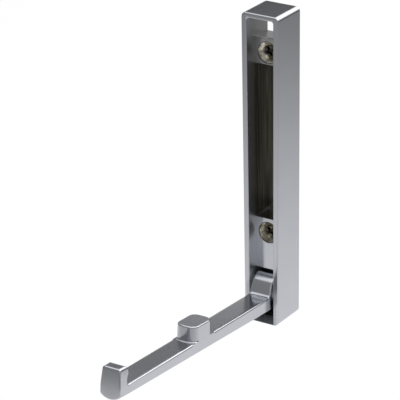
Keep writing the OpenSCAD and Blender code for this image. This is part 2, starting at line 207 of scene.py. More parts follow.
# Parts of a normal along one axis, then values of a noise
WALL_FACING, RAMP_FACING = (0.5, 0.8), (0.3, 0.6)
STREAK_TONES, TARNISH_TONES = (0.45, 0.65), (0.42, 0.6)
GRAIN_LOW, GRAIN_HIGH = 0.3, 0.7
STREAK_PACE = 0.03                      # the pattern's scale along Z, which draws it upright
WORN_DULLNESS = 0.25                    # roughness added in the worn zones
STEEL_SPREAD = 0.05                     # how far a plain steel's roughness varies either way


def recess_shade_and_dullness(tree, spot, colour, rough):
    """Adds the housing's recesses to a colour and a roughness: dull walls and foot, painted shade
    on the ramp, painted light on the low walls, painted shade in the channel higher up and dark
    painted shade in the deep cavity."""
    axes = add(tree, "ShaderNodeSeparateXYZ", links={"Vector": spot["Object"]}).outputs
    facing = add(tree, "ShaderNodeSeparateXYZ", links={"Vector": spot["Normal"]}).outputs
    off_middle = add(tree, "ShaderNodeMath", {"operation": "ABSOLUTE"},
                     links={0: axes["X"]}).outputs[0]
    sideways = add(tree, "ShaderNodeMath", {"operation": "ABSOLUTE"},
                   links={0: facing["X"]}).outputs[0]
    inside = zone(tree, None, (off_middle, RECESS_SIDE), (axes["Y"], RECESS_BACK),
                  (axes["Z"], RECESS_TOP), blend="LINEAR")
    shaded = zone(tree, inside, (axes["Y"], SHADE_DEPTH), (axes["Z"], SHADE_HEIGHT))
    walls = zone(tree, inside, (sideways, WALL_FACING))
    lit_low_walls = zone(tree, walls, (axes["Z"], LIT_LOW_WALL_HEIGHT))
    foot = zone(tree, inside, (axes["Z"], FOOT_HEIGHT))
    ramp = zone(tree, foot, (facing["Z"], RAMP_FACING))
    # Where the deep cavity gets its dark painted shade
    deep = zone(tree, inside, (axes["Y"], CAVITY_DEPTH), (axes["Z"], CAVITY_FOOT),
                (axes["Z"], CAVITY_TOP))
    # Painted shade on the ramp, painted light on the low walls, painted shade in the channel
    # higher up
    for share, tone in ((ramp, "#787A7E"), (lit_low_walls, "#D6D8DC"), (shaded, "#AEAEAE")):
        colour = add(tree, "ShaderNodeMix", {"data_type": "RGBA"}, {"B": linear(tone)},
                     {"Factor": share, "A": colour}).outputs["Result"]
    # Painted shade in the deep cavity: dark, in upright streaks about 1 mm wide
    upright = add(tree, "ShaderNodeVectorMath", {"operation": "MULTIPLY"},
                  {1: (1, 1, STREAK_PACE)}, {0: spot["Object"]}).outputs["Vector"]
    streaks = add(tree, "ShaderNodeTexNoise", None, {"Scale": 1 / (1.0 * MM), "Detail": 2},
                  {"Vector": upright}).outputs["Fac"]
    streaked_shade = add(tree, "ShaderNodeMix", {"data_type": "RGBA"},
                   {"A": linear("#7D7972"), "B": linear("#A9A69C")},
                   {"Factor": zone(tree, None, (streaks, STREAK_TONES))}).outputs["Result"]
    colour = add(tree, "ShaderNodeMix", {"data_type": "RGBA"},
                 links={"Factor": deep, "A": colour, "B": streaked_shade}).outputs["Result"]
    # Drag marks of the die's core on the walls and the foot: they only blur the reflections
    worn = add(tree, "ShaderNodeMath", {"operation": "MAXIMUM"},
               links={0: walls, 1: foot}).outputs[0]
    dull = add(tree, "ShaderNodeMapRange", None, {"To Min": 0.0, "To Max": WORN_DULLNESS},
               {"Value": worn}).outputs["Result"]
    rough = add(tree, "ShaderNodeMath", {"operation": "ADD"},
                links={0: rough, 1: dull}).outputs[0]
    return colour, rough


def satin_chrome(name, recessed):
    """Zinc, pressure die-cast, vibrated smooth and plated in satin chrome. The eye gets a cool
    grey metal with soft reflections and a very fine grain. A recessed casting gets duller walls
    and foot in its recesses, and painted shade and painted light there."""
    material, tree = new_material(name)
    spot = add(tree, "ShaderNodeTexCoord").outputs
    # Grain of the vibrated finish: 0.25 mm, coarser than the real 0.05 mm, so that it shows
    grain, rough = grained(tree, spot["Object"], size=0.25, detail=3, low=0.17, high=0.19)
    # Flow and sink of the casting: waves about 9 mm long
    flow = add(tree, "ShaderNodeTexNoise", None, {"Scale": 1 / (9 * MM), "Detail": 1},
               {"Vector": spot["Object"]}).outputs["Fac"]
    fine = add(tree, "ShaderNodeBump", None, {"Strength": 0.012, "Distance": 0.02 * MM},
               {"Height": grain}).outputs["Normal"]
    broad = add(tree, "ShaderNodeBump", None, {"Strength": 0.1, "Distance": 0.1 * MM},
                {"Height": flow, "Normal": fine}).outputs["Normal"]
    colour = add(tree, "ShaderNodeMix", {"data_type": "RGBA"},
                 {"A": linear("#C2C4CB"), "B": linear("#C7C9CE")},
                 {"Factor": flow}).outputs["Result"]
    # Painted shade and painted light in the housing's recesses, with duller walls and foot
    if recessed:
        colour, rough = recess_shade_and_dullness(tree, spot, colour, rough)
    shader = add(tree, "ShaderNodeBsdfPrincipled", None, {"Metallic": 1.0},
                 {"Base Color": colour, "Roughness": rough, "Normal": broad})
    add(tree, "ShaderNodeOutputMaterial", links={"Surface": shader.outputs["BSDF"]})
    return material


def plain_steel(name, colour, roughness, grain_size):
    """A plain steel part: one tone, with a fine grain that varies its gloss a little."""
    material, tree = new_material(name)
    place = add(tree, "ShaderNodeTexCoord").outputs["Object"]
    rough = grained(tree, place, size=grain_size, detail=3, low=roughness - STEEL_SPREAD,
                    high=roughness + STEEL_SPREAD)[1]
    shader = add(tree, "ShaderNodeBsdfPrincipled", None,
                 {"Metallic": 1.0, "Base Color": linear(colour)}, {"Roughness": rough})
    add(tree, "ShaderNodeOutputMaterial", links={"Surface": shader.outputs["BSDF"]})
    return material


def nickel_plate():
    """Steel, cold-headed, thread-rolled and nickel plated. The eye gets a warm bright metal with
    olive tarnish in patches, and painted shade deep in the cross recess."""
    material, tree = new_material("steel_screw_nickel_plated")
    place = add(tree, "ShaderNodeTexCoord").outputs["Object"]
    # Tarnish: patches about 2.5 mm wide
    patches = add(tree, "ShaderNodeTexNoise", None, {"Scale": 1 / (2.5 * MM), "Detail": 2},
                  {"Vector": place}).outputs["Fac"]
    tarnished = add(tree, "ShaderNodeMix", {"data_type": "RGBA"},
                    {"A": linear("#C6C0B4"), "B": linear("#86816F")},
                    {"Factor": zone(tree, None, (patches, TARNISH_TONES))}).outputs["Result"]
    depth = add(tree, "ShaderNodeSeparateXYZ", links={"Vector": place}).outputs["Y"]
    # Painted shade deep in the cross recess
    recess_shade = zone(tree, zone(tree, None, (depth, RECESS_SHADE_START)), (depth, RECESS_SHADE_END),
                   blend="LINEAR")
    colour = add(tree, "ShaderNodeMix", {"data_type": "RGBA"}, {"B": linear("#4A4538")},
                 {"Factor": recess_shade, "A": tarnished}).outputs["Result"]
    # Grain of the heading die: 0.3 mm, coarser than the real 0.05 mm, so that it shows
    rough = grained(tree, place, size=0.3, detail=2, low=0.08, high=0.16)[1]
    shader = add(tree, "ShaderNodeBsdfPrincipled", None, {"Metallic": 1.0},
                 {"Base Color": colour, "Roughness": rough})
    add(tree, "ShaderNodeOutputMaterial", links={"Surface": shader.outputs["BSDF"]})
    return material


CHROME = satin_chrome("die_cast_zinc_satin_chrome", False)
# The housing's chrome carries painted shade and painted light in its recesses
HOUSING_CHROME_AND_SHADE = satin_chrome("die_cast_zinc_satin_chrome_recess_shade", True)
NICKEL = nickel_plate()
# Spring steel, cold-rolled bright and stamped. The eye gets a plain grey metal with blurred
# reflections. Its grain is 0.3 mm, coarser than the real rolling marks, so that it shows
WASHER_STEEL = plain_steel("spring_steel_bright", "#B4B6B8", roughness=0.3, grain_size=0.3)
# Steel rod, drawn and centreless ground. The eye gets a slightly brighter and finer metal. Its
# grain is 0.2 mm, coarser than the real grinding marks, so that it shows
PIN_STEEL = plain_steel("steel_pin_ground", "#B9BABC", roughness=0.25, grain_size=0.2)


# ---------------------------------------------------------------- modelling helpers
def outline(corners, steps):
    """A closed outline, anticlockwise, with its corners rounded. Each corner is (x, y, radius,
    edge of the side after it); the result is a list of (point, outward normal, edge)."""
    made = []
    count = len(corners)
    for i, (x, y, radius, after) in enumerate(corners):
        here = Vector((x, y))
        coming = (here - Vector(corners[i - 1][:2])).normalized()
        going = (Vector(corners[(i + 1) % count][:2]) - here).normalized()
        before = corners[i - 1][3]
        turn = math.atan2(coming.x * going.y - coming.y * going.x, coming.dot(going))
        first = Vector((coming.y, -coming.x))
        last = Vector((going.y, -going.x))
        if radius == 0:
            middle = (first + last).normalized() / math.cos(turn / 2)
            made.append((here, middle, min(before, after)))
            continue
        bent = math.copysign(radius, turn)
        start = here - coming * abs(radius * math.tan(turn / 2))
        centre = start - first * bent
        for k in range(steps + 1):
            share = k / steps
            angle = math.atan2(first.y, first.x) + turn * share
            normal = Vector((math.cos(angle), math.sin(angle)))
            made.append((centre + normal * bent, normal, before + (after - before) * share))
    return made


def ring_edges(shape, ring):
    """The edges that join a ring's vertices."""
    return [shape.edges.get((ring[i - 1], vert)) for i, vert in enumerate(ring)]


def first_ring(shape, places):
    """A ring of vertices joined by edges."""
    ring = [shape.verts.new(place) for place in places]
    for i, vert in enumerate(ring):
        shape.edges.new((ring[i - 1], vert))
    return ring


def pull(shape, ring, places):
    """Extrudes a ring and puts each new vertex in its place."""
    made = bmesh.ops.extrude_edge_only(shape, edges=ring_edges(shape, ring))["geom"]
    fresh = {part for part in made if isinstance(part, bmesh.types.BMVert)}
    pulled = []
    for vert, place in zip(ring, places):
        mate = next(e.other_vert(vert) for e in vert.link_edges if e.other_vert(vert) in fresh)
        mate.co = place
        pulled.append(mate)
    return pulled


def cap(shape, ring):
    """Closes a ring with one face."""
    shape.faces.new(ring)


def fill(shape, rings):
    """A flat face between several rings, the later ones being holes in the first."""
    edges = [edge for ring in rings for edge in ring_edges(shape, ring)]
    bmesh.ops.triangle_fill(shape, use_beauty=True, use_dissolve=False, edges=edges)


def round_edges(shape, edges, radius, steps):
    """Rounds some edges, or chamfers them where steps is 1."""
    bmesh.ops.bevel(shape, geom=edges, offset=radius, offset_type="OFFSET", segments=steps,
                    profile=0.5, affect="EDGES", material=-1, clamp_overlap=False)


def open_face(shape, place, normal):
    """Takes away the flat face nearest to a place and returns its corners in their order."""
    shape.normal_update()
    alike = [face for face in shape.faces if abs(face.normal.dot(normal)) > PARALLEL]
    nearest = min(alike, key=lambda face: (face.calc_center_median() - place).length)
    corners = [loop.vert for loop in nearest.loops]
    bmesh.ops.delete(shape, geom=[nearest], context="FACES_ONLY")
    return corners


def turned(shape, profile, centre, axis, steps):
    """Spins a profile of (radius, distance along the axis) into a surface, open at both ends."""
    side = axis.orthogonal().normalized()
    verts = [shape.verts.new(centre + side * r + axis * t) for r, t in profile]
    edges = [shape.edges.new(pair) for pair in zip(verts, verts[1:])]
    bmesh.ops.spin(shape, geom=verts + edges, cent=centre, axis=axis, angle=2 * math.pi,
                   steps=steps, use_merge=True, use_duplicate=False)


def ring_at(shape, centre, radius, axis):
    """The vertices of a turned surface at one radius and height, in their order."""
    side = axis.orthogonal().normalized()
    other = axis.cross(side)
    found = [v for v in shape.verts if abs((v.co - centre).dot(axis)) < TOUCH
             and abs((v.co - centre).length - radius) < 2 * TOUCH]
    return sorted(found, key=lambda v: math.atan2((v.co - centre).dot(other),
                                                  (v.co - centre).dot(side)))


def into_scene(shape, name, material):
    """Turns a shape into an object of one material, which sits at the origin."""
    mesh = bpy.data.meshes.new(name)
    shape.to_mesh(mesh)
    shape.free()
    mesh.materials.append(material)
    made = bpy.data.objects.new(name, mesh)
    bpy.context.scene.collection.objects.link(made)
    return made


def finish_piece(shape, name, body, node, material):
    """Closes, scales and smooths a shape and makes it the piece that stands for a CAD node."""
    bmesh.ops.remove_doubles(shape, verts=shape.verts, dist=TOUCH / 2)
    bmesh.ops.recalc_face_normals(shape, faces=shape.faces)
    bmesh.ops.scale(shape, vec=(MM, MM, MM), verts=shape.verts)
    for face in shape.faces:
        face.smooth = True
    for edge in shape.edges:
        edge.smooth = edge.calc_face_angle(0) < SHARP
    piece = into_scene(shape, name, material)
    even = piece.modifiers.new("flat_faces_stay_flat", "WEIGHTED_NORMAL")
    even.mode = "FACE_AREA"
    even.weight = 100
    even.keep_sharp = True
    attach(piece, body)
    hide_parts(node)


# ---------------------------------------------------------------- housing
def half_width(height, wall=0.0):
    """Half the housing's width at a height above its foot, less a wall."""
    return (FOOT_WIDTH + FLARE_SHARE * height) / 2 - wall


def housing_outline(low, high, wall, low_corner, high_corner, foot_edge, edge):
    """Outline of the housing or of its opening, with a point at each boss height."""
    right = [(half_width(h, wall), h, 0, edge) for h in BOSS_HEIGHTS]
    left = [(-x, h, 0, edge) for x, h, _, _ in reversed(right)]
    return outline(
        [(half_width(low, wall), low, low_corner, edge)] + right
        + [(half_width(high, wall), high, high_corner, edge),
           (-half_width(high, wall), high, high_corner, edge)]
        + left + [(-half_width(low, wall), low, low_corner, foot_edge)], CORNER_STEPS)


def at_depth(points, depth):
    """Places in space for an outline at a depth from the wall."""
    return [Vector((p.x, -depth, p.y - FOOT)) for p in points]


def rolled(points, depth, share, outward, frontward=1):
    """One ring of the rounding from a wall to the flat face at a depth. The face lies outside
    the wall's outline (1) or inside it (-1), and looks to the front (1) or to the back (-1)."""
    angle = share * math.pi / 2
    moved = []
    for point, normal, radius in points:
        place = point + normal * (outward * radius * (1 - math.cos(angle)))
        from_wall = depth - frontward * radius * (1 - math.sin(angle))
        moved.append(Vector((place.x, -from_wall, place.y - FOOT)))
    return moved


def sunk(hollow, depth):
    """Places for a hollow's ring of vertices, moved to a depth from the wall."""
    return [Vector((v.co.x, -depth, v.co.z)) for v in hollow]


def build_housing():
    """The die-cast housing: one skin pulled from its back, round the front rim and into the
    channel, with the bosses, the deep cavity, the pivot chamber and the window."""
    shape = bmesh.new()
    outer = housing_outline(0, HOUSING_HEIGHT, 0, OUTER_CORNER, OUTER_CORNER, FOOT_EDGE,
                            RIM_EDGE)
    outer_back = [(point, normal, BACK_EDGE) for point, normal, _ in outer]
    mouth = housing_outline(RAMP_FOOT, OPENING_TOP, SIDE_WALL, *OPENING_CORNERS, FOOT_EDGE,
                            LIP_EDGE)
    channel = [point for point, _, _ in
               housing_outline(RAMP_TOP, OPENING_TOP, SIDE_WALL, *OPENING_CORNERS, 0, 0)]
    back_ring = ring = first_ring(shape, rolled(outer_back, 0, 1, -1, -1))
    for places in ([rolled(outer_back, 0, share, -1, -1) for share in FACE_TO_WALL[1:]]
                   + [rolled(outer, HOUSING_DEPTH, share, -1) for share in WALL_TO_FACE]
                   + [rolled(mouth, HOUSING_DEPTH, share, 1) for share in FACE_TO_WALL]
                   + [at_depth(channel, RAMP_DEPTH), at_depth(channel, BOSS_DEPTH)]):
        ring = pull(shape, ring, places)

    # Bosses and the hollows between them, on the floor of the channel
    arc, side = CORNER_STEPS + 1, len(BOSS_HEIGHTS)    # vertices in a corner and along a side
    right = ring[arc:arc + side]
    left = ring[3 * arc + side:3 * arc + 2 * side][::-1]
    for low, high in ((LOWER_FOOT, LOWER_SPLIT), (LOWER_SPLIT, LOWER_TOP),
                      (UPPER_FOOT, UPPER_TOP)):
        cap(shape, [right[low], right[high], left[high], left[low]])
    chamber = ring[3 * arc + 2 * side:] + ring[:arc] + [right[LOWER_FOOT], left[LOWER_FOOT]]
    cavity = [left[LOWER_TOP], right[LOWER_TOP], right[UPPER_FOOT], left[UPPER_FOOT]]
    window = [left[UPPER_TOP], right[UPPER_TOP]] + ring[arc + side:3 * arc + side]
    for hollow in (chamber, cavity):
        cap(shape, pull(shape, hollow, sunk(hollow, BACK_WALL)))
    narrow = pull(shape, window, sunk(window, STEP_DEPTH))
    wide = pull(shape, narrow, [
        Vector((v.co.x + math.copysign(STEP_WIDTH, v.co.x), v.co.y, v.co.z)) for v in narrow])
    sill = min(v.co.z for v in wide)
    window_back = pull(shape, wide, [
        Vector((v.co.x, 0, v.co.z - (SILL_FALL if v.co.z < sill + NEAR else 0))) for v in wide])

    # Edges of the bosses: a rounded foot, and a chamfered top that reaches down the face
    for levels, size, steps in (((LOWER_FOOT, UPPER_FOOT), BOSS_ROUND, BOSS_ROUND_STEPS),
                                ((LOWER_TOP, UPPER_TOP), BOSS_CHAMFER, CHAMFER_STEPS)):
        round_edges(shape, [shape.edges.get((right[i], left[i])) for i in levels], size, steps)
    chamfers = [BOSS_HEIGHTS[i] - BOSS_CHAMFER - FOOT for i in (LOWER_TOP, UPPER_TOP)]
    for vert in shape.verts:
        on_face = abs(vert.co.y + BOSS_DEPTH) < TOUCH
        if on_face and min(abs(vert.co.z - height) for height in chamfers) < NEAR:
            vert.co.z -= CHAMFER_DROP

    # Screw holes with their countersinks
    back_rings = [back_ring, window_back]
    for height in SCREW_HEIGHTS.values():
        centre = Vector((0, -BOSS_DEPTH, height - FOOT))
        around = open_face(shape, centre, INTO_WALL)
        turned(shape, [(SINK_RADIUS + SINK_EDGE, 0),
                       (SINK_RADIUS + SINK_EDGE_MIDDLE, SINK_EDGE_MIDDLE),
                       (SINK_RADIUS, SINK_EDGE), (SINK_RADIUS, SINK_MOUTH),
                       (HOLE_RADIUS, SINK_MOUTH + SINK_RADIUS - HOLE_RADIUS),
                       (HOLE_RADIUS, BOSS_DEPTH)], centre, INTO_WALL, TURN_STEPS)
        fill(shape, [around, ring_at(shape, centre, SINK_RADIUS + SINK_EDGE, INTO_WALL)])
        back_rings.append(
            ring_at(shape, centre + INTO_WALL * BOSS_DEPTH, HOLE_RADIUS, INTO_WALL))
    fill(shape, back_rings)

    # Bore for the pivot pin, in the left-hand side, whose flare makes it lean
    centre = Vector((-half_width(PIVOT_HEIGHT), -PIVOT_DEPTH, PIVOT_HEIGHT - FOOT))
    lean = Vector((-1, 0, FLARE_SHARE / -2)).normalized()
    around = open_face(shape, centre, lean)
    turned(shape, [(PIN_RADIUS + PIN_BORE_CHAMFER, 0), (PIN_RADIUS, -PIN_BORE_CHAMFER),
                   (PIN_RADIUS, -PIN_BORE_DEPTH)], centre, lean, PIN_BORE_STEPS)
    fill(shape, [around, ring_at(shape, centre, PIN_RADIUS + PIN_BORE_CHAMFER, lean)])
    cap(shape, ring_at(shape, centre - lean * PIN_BORE_DEPTH, PIN_RADIUS, lean))
    finish_piece(shape, "housing_casting", "housing", "housing", HOUSING_CHROME_AND_SHADE)


# ---------------------------------------------------------------- arm
def arm_point(across, along, up):
    """A place in space from distances across the arm, along it and above its pivot."""
    c, s = math.cos(ARM_RISE), math.sin(ARM_RISE)
    return Vector((across, -PIVOT_DEPTH - along * c + up * s,
                   PIVOT_HEIGHT - FOOT + along * s + up * c))


def bar_top(along):
    """Height of the bar's top, which falls a little towards the tip."""
    return BAR_ROOT - BAR_FALL * along


def arc_points(centre, radius, start, stop, steps, edge):
    """Corners along a circular stretch of an outline; angles are in degrees."""
    angles = [math.radians(start + (stop - start) * k / steps) for k in range(steps + 1)]
    return [(centre[0] + radius * math.cos(a), centre[1] + radius * math.sin(a), 0, edge)
            for a in angles]


def bow(share):
    """How far a stretch bows: 0 at its ends, where share is 0 or 1, and 1 in its middle."""
    return 4 * share * (1 - share)


def end_face(up):
    """Distance along the arm of its end, which leans back and is slightly full."""
    share = (up - KEEL) / (TIP_TOP - KEEL)
    return ARM_REACH - (up - LEAN_LEVEL) * TIP_LEAN + TIP_FULLNESS * bow(share)


def arm_outline():
    """Side outline of the arm, anticlockwise with the tip to the right."""
    foot = bar_top(TIP_FOOT)
    corners = [(KEEL_START, KEEL, 0, BAR_EDGE), (LIP, KEEL, 0, BAR_EDGE),
               (end_face(KEEL), KEEL, TIP_KEEL_CORNER, BAR_EDGE),
               *[(end_face(up), up, 0, BAR_EDGE) for up in TIP_HEIGHTS],
               (end_face(TIP_TOP), TIP_TOP, TIP_TOP_CORNER, TIP_TOP_EDGE),
               (LIP, TIP_TOP, LIP_CORNER, BAR_EDGE), (LIP, LIP_FOOT, 0, BAR_EDGE)]
    # Hollow under the lip
    chord = Vector((TIP_FOOT - LIP, foot - LIP_FOOT))
    inward = Vector((-chord.y, chord.x)).normalized()
    for share in HOLLOW_SHARES:
        point = Vector((LIP, LIP_FOOT)) + chord * share + inward * (LIP_HOLLOW * bow(share))
        corners.append((point.x, point.y, 0, BAR_EDGE))
    corners.append((TIP_FOOT, foot, TIP_FOOT_CORNER, BAR_EDGE))
    # The bar's top; its side edges are sharp where the knob stands flush on them
    for along, edge in ((BAR_TOP_END, RIDGE_EDGE), (KNOB_FRONT + KNOB_FADE, RIDGE_EDGE),
                        (KNOB_FRONT + KNOB_CLEAR, FLUSH_EDGE),
                        (KNOB_BACK - KNOB_CLEAR, RIDGE_EDGE),
                        (KNOB_BACK - KNOB_FADE, RIDGE_EDGE)):
        corners.append((along, bar_top(along), 0, edge))
    # Fillet, knuckle and heel: the fillet touches the bar's top and the knuckle's round
    apart = KNUCKLE + FILLET
    guess = math.sqrt(apart ** 2 - (bar_top(FILLET_NEAR) + FILLET) ** 2)
    height = bar_top(guess) + FILLET
    centre = Vector((math.sqrt(apart ** 2 - height ** 2), height))
    meet = math.degrees(math.atan2(centre.y, centre.x))
    corners += arc_points(centre, FILLET, FILLET_START, 180 + meet, FILLET_STEPS,
                          RIDGE_EDGE)
    corners += arc_points((0, 0), KNUCKLE, meet + FILLET_GAP, KNUCKLE_END, KNUCKLE_STEPS,
                          KNUCKLE_EDGE)
    c, s = math.cos(ARM_RISE), math.sin(ARM_RISE)
    corners.append(((BAR_ROOT * s - HEEL_REACH) / c, BAR_ROOT, HEEL_EDGE, HEEL_EDGE))
    corners += arc_points(HEEL_CENTRE, HEEL_RADIUS, 180 - math.degrees(ARM_RISE), 270,
                          HEEL_STEPS, HEEL_EDGE)
    return outline(corners, CORNER_STEPS)


def under_side(across):
    """Height of the arm's underside at a distance from its middle: an arc with soft edges."""
    off = min(abs(across), ARM_HALF)
    middle = KEEL + UNDER_ARC
    edge = ARM_HALF - UNDER_EDGE
    drop = math.sqrt((UNDER_ARC - UNDER_EDGE) ** 2 - edge ** 2)
    touch = edge * UNDER_ARC / (UNDER_ARC - UNDER_EDGE)
    if off <= touch:
        return middle - math.sqrt(UNDER_ARC ** 2 - off ** 2)
    return middle - drop - math.sqrt(max(UNDER_EDGE ** 2 - (off - edge) ** 2, 0))


def knob_ring(grow, height, on_bar):
    """One ring of the knob: its plan grown by some amount, at a height over the pivot or the
    bar. The plan never stands out past the arm's sides."""
    middle_back, middle_front = KNOB_BACK - KNOB_BOW, KNOB_FRONT + KNOB_BOW
    plan = outline([(-KNOB_HALF, KNOB_BACK, KNOB_BACK_CORNER, 0), (0, middle_back, 0, 0),
                    (KNOB_HALF, KNOB_BACK, KNOB_BACK_CORNER, 0),
                    (KNOB_HALF, KNOB_FRONT, KNOB_FRONT_CORNER, 0), (0, middle_front, 0, 0),
                    (-KNOB_HALF, KNOB_FRONT, KNOB_FRONT_CORNER, 0)], KNOB_CORNER_STEPS)
    places = []
    for point, normal, _ in plan:
        across = max(-ARM_HALF, min(ARM_HALF, point.x + normal.x * grow))
        along = point.y + normal.y * grow
        places.append(arm_point(across, along, height + (bar_top(along) if on_bar else 0)))
    return places


def build_knob(shape):
    """The knob, a closed skin rooted in the bar: a flared foot in front and behind, drafted
    sides flush with the arm's at their foot, and a rounded top edge."""
    ring = first_ring(shape, knob_ring(0, KNOB_ROOT, True))
    cap(shape, ring)
    ring = pull(shape, ring, knob_ring(KNOB_DRAFT + KNOB_FLARE + KNOB_SKIRT, KNOB_SKIRT, True))
    quarter = [k / KNOB_STEPS * math.pi / 2 for k in range(KNOB_STEPS + 1)]
    for angle in quarter:
        ring = pull(shape, ring, knob_ring(KNOB_DRAFT + KNOB_FLARE * (1 - math.sin(angle)),
                                           KNOB_FLARE * (1 - math.cos(angle)), True))
    for angle in quarter:
        ring = pull(shape, ring, knob_ring(-KNOB_BROW * (1 - math.cos(angle)),
                                           KNOB_TOP - KNOB_BROW * (1 - math.sin(angle)), False))
    cap(shape, ring)


def arm_place(point, normal, radius, side, share, middle):
    """Where an outline's point lies in one slice of the arm. share runs from 1 on the side face
    to 0 where the rounding ends; past that, middle gives the way to the other side."""
    angle = share * math.pi / 2
    across = side * (ARM_HALF - radius * (1 - math.sin(angle))) * middle
    along = point.x - normal.x * radius * (1 - math.cos(angle))
    up = point.y - normal.y * radius * (1 - math.cos(angle))
    if up < BELLY_TOP:
        # Sides draw in evenly; the underside follows its own arc, without their rounding
        height = point.y if point.y < KEEL + UNDER_EDGE else up
        stretch = (BELLY_TOP - under_side(across)) / (BELLY_TOP - KEEL)
        moved = BELLY_TOP + (height - BELLY_TOP) * stretch
        if point.x > ARM_REACH - TIP_END:
            along -= (moved - up) * TIP_LEAN
        up = moved
    if point.x > LIP - NEAR:
        foot = bar_top(TIP_FOOT)
        narrow = TIP_NARROWING * (point.x - LIP) / (ARM_REACH - LIP)
        narrow += TIP_TOP_NARROWING * max(0, point.y - foot) / (TIP_TOP - foot)
        across *= 1 - narrow / ARM_HALF
    return arm_point(across, along, up)


def build_arm():
    """The die-cast arm: its side outline pulled across in slices, with rounded side edges, a
    full underside, a tapered tip, the pin's bore and the knob."""
    shape = bmesh.new()
    points = arm_outline()
    half = ([(share, 1) for share in reversed(WALL_TO_FACE)]
            + [(0, middle) for middle in ACROSS_SHARES])
    slices = [(1, *place) for place in half] + [(1, 0, 0)]
    slices += [(-1, *place) for place in reversed(half)]
    rings = []
    for side, share, middle in slices:
        places = [arm_place(p, n, r, side, share, middle) for p, n, r in points]
        rings.append(pull(shape, rings[-1], places) if rings else first_ring(shape, places))

    # Bore for the pivot pin, with its running clearance
    pivot, mouth = arm_point(0, 0, 0), ARM_BORE + ARM_BORE_CHAMFER
    end = ARM_HALF - ARM_BORE_CHAMFER
    turned(shape, [(mouth, -ARM_HALF), (ARM_BORE, -end), (ARM_BORE, end), (mouth, ARM_HALF)],
           pivot, ACROSS, TURN_STEPS)
    for rim, side in ((rings[0], 1), (rings[-1], -1)):
        fill(shape, [rim, ring_at(shape, pivot + ACROSS * (side * ARM_HALF), mouth, ACROSS)])
    build_knob(shape)
    finish_piece(shape, "arm_casting", "arm", "arm", CHROME)


# ---------------------------------------------------------------- screws
def cross_plan(reach, half, turn):
    """Outline of a cross recess: four wings with rounded corners, turned by some degrees."""
    corners = []
    for quarter in range(4):
        angle = math.radians(turn + 90 * quarter)
        c, s = math.cos(angle), math.sin(angle)
        for x, y, share in ((reach, -half, WING_CORNER), (reach, half, WING_CORNER),
                            (half, half, NECK_CORNER)):
            corners.append((x * c - y * s, x * s + y * c, half * share, 0))
    return outline(corners, RECESS_CORNER_STEPS)


def pointed(along, radius):
    """A radius of the core or the thread, less where the screw's point narrows."""
    return radius * min(1, max(0, SCREW_LENGTH - along) / POINT_LENGTH)


def wind_thread(shape, centre):
    """The rolled thread: a ridge wound round the core, closed at both ends."""
    turns = (THREAD_END - THREAD_START) / THREAD_PITCH
    steps = int(THREAD_STEPS * turns)
    ridge = [shape.verts.new(centre + Vector((r, THREAD_START + t, 0)))
             for r, t in THREAD_RIDGE]
    edges = [shape.edges.new((ridge[i - 1], vert)) for i, vert in enumerate(ridge)]
    wound = bmesh.ops.spin(shape, geom=ridge + edges, cent=centre, axis=INTO_WALL,
                           angle=2 * math.pi * turns,
                           dvec=INTO_WALL * (THREAD_PITCH * turns / steps), steps=steps,
                           use_merge=False, use_duplicate=False)
    cap(shape, ridge)
    last = [part for part in wound["geom_last"] if isinstance(part, bmesh.types.BMEdge)]
    bmesh.ops.contextual_create(shape, geom=last)


def build_screw(name, height, turn):
    """A countersunk wood screw: a head with a shallow bowl and a deep cross recess of tapered
    wings, a plain shank, and a thread whose ridge sinks into the core at the point."""
    shape = bmesh.new()
    centre = Vector((0, -HEAD_DEPTH, height - FOOT))
    turned(shape, [*BOWL, (HEAD_RADIUS, HEAD_RIM),
                   (SHANK_RADIUS, HEAD_RIM + HEAD_RADIUS - SHANK_RADIUS),
                   (SHANK_RADIUS, HEAD_DEPTH), (THREAD_CORE, HEAD_DEPTH + CORE_CONE),
                   (THREAD_CORE, SCREW_LENGTH - POINT_LENGTH), *BLUNT_POINT],
           centre, INTO_WALL, TURN_STEPS)
    wings = [[centre + Vector((p.x, depth, p.y)) for p, _, _ in cross_plan(reach, half, turn)]
             for reach, half, depth in RECESS]
    ring = first_ring(shape, wings[0])
    bowl_radius, bowl_depth = BOWL[0]
    floor = ring_at(shape, centre + INTO_WALL * bowl_depth, bowl_radius, INTO_WALL)
    fill(shape, [floor, ring])
    for places in wings[1:]:
        ring = pull(shape, ring, places)
    cap(shape, ring)

    wind_thread(shape, centre)
    for vert in shape.verts:
        off = vert.co - centre
        if off.y > SCREW_LENGTH - POINT_LENGTH:
            if math.hypot(off.x, off.z) > pointed(off.y, THREAD_CORE) + NEAR:
                share = pointed(off.y, THREAD_RADIUS) / THREAD_RADIUS
                vert.co = centre + Vector((off.x * share, off.y, off.z * share))
    finish_piece(shape, name + "_steel", "housing", name, NICKEL)


build_housing()
build_arm()
for screw, recess_turn in RECESS_TURNS.items():
    build_screw(screw, SCREW_HEIGHTS[screw], recess_turn)

CAD_FINISHES = {"pivot_pin": PIN_STEEL, "washer_left": WASHER_STEEL,
                "washer_right": WASHER_STEEL, "screw_upper": NICKEL, "screw_lower": NICKEL}
for name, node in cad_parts.items():
    for slot in node.material_slots:
        slot.material = CAD_FINISHES.get(name, CHROME)


# ---------------------------------------------------------------- studio, in metres
FLOOR_HEIGHT, FLOOR_REACH = -0.17, 4
WHITE_SHARE = 0.85                      # the rest of the floor shows the object's shadow
ROOM_STRENGTH = 0.66                    # of the even light on matt surfaces
FRONT_SHARE = 0.92                      # a distance in front counts this much in the pool
# Softboxes: place, the point that each faces, width, height, and power in watts
SOFTBOXES = {"overhead_softbox": ((0.15, 0.42, 0.75), (0.15, 0.42, 0), 1.5, 1.86, 7.0),
             "rear_right_softbox": ((0.55, 0.95, 0.62), (0, 0, 0), 1.1, 0.8, 2.6)}
CARD_PLACE, CARD_RIGHT, CARD_UP = (-0.45, 0.4, 0.02), (0.5, 0, 0), (0, 0, 0.19)
PLAIN_WHITE = {"Color": (1, 1, 1, 1), "Strength": 1.0}

